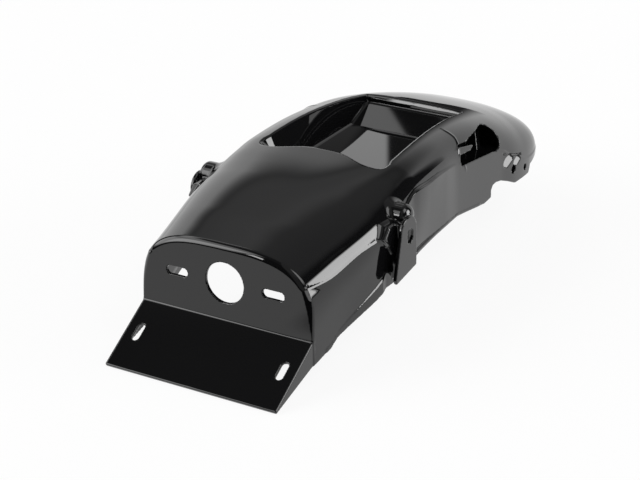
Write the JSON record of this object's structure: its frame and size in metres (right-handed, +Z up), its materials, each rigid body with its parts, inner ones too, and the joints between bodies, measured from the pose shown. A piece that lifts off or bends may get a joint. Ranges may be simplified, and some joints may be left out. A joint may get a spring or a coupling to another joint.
{
  "type": "tail tidy",
  "caption": "Short moulded motorcycle rear mudguard with lamp panel, number plate flap, side lugs and a shallow tray in its top.",
  "frame": {"origin": "centre of the lamp hole on the rear face of the lamp panel", "axes": "+X to the right of the motorcycle, +Y forward, +Z up"},
  "size_m": [0.203, 0.4897, 0.1267],
  "materials": {
    "mudguard": "high gloss black moulding"
  },
  "bodies": {
    "root": {"mudguard": "mudguard"}
  },
  "joints": []
}
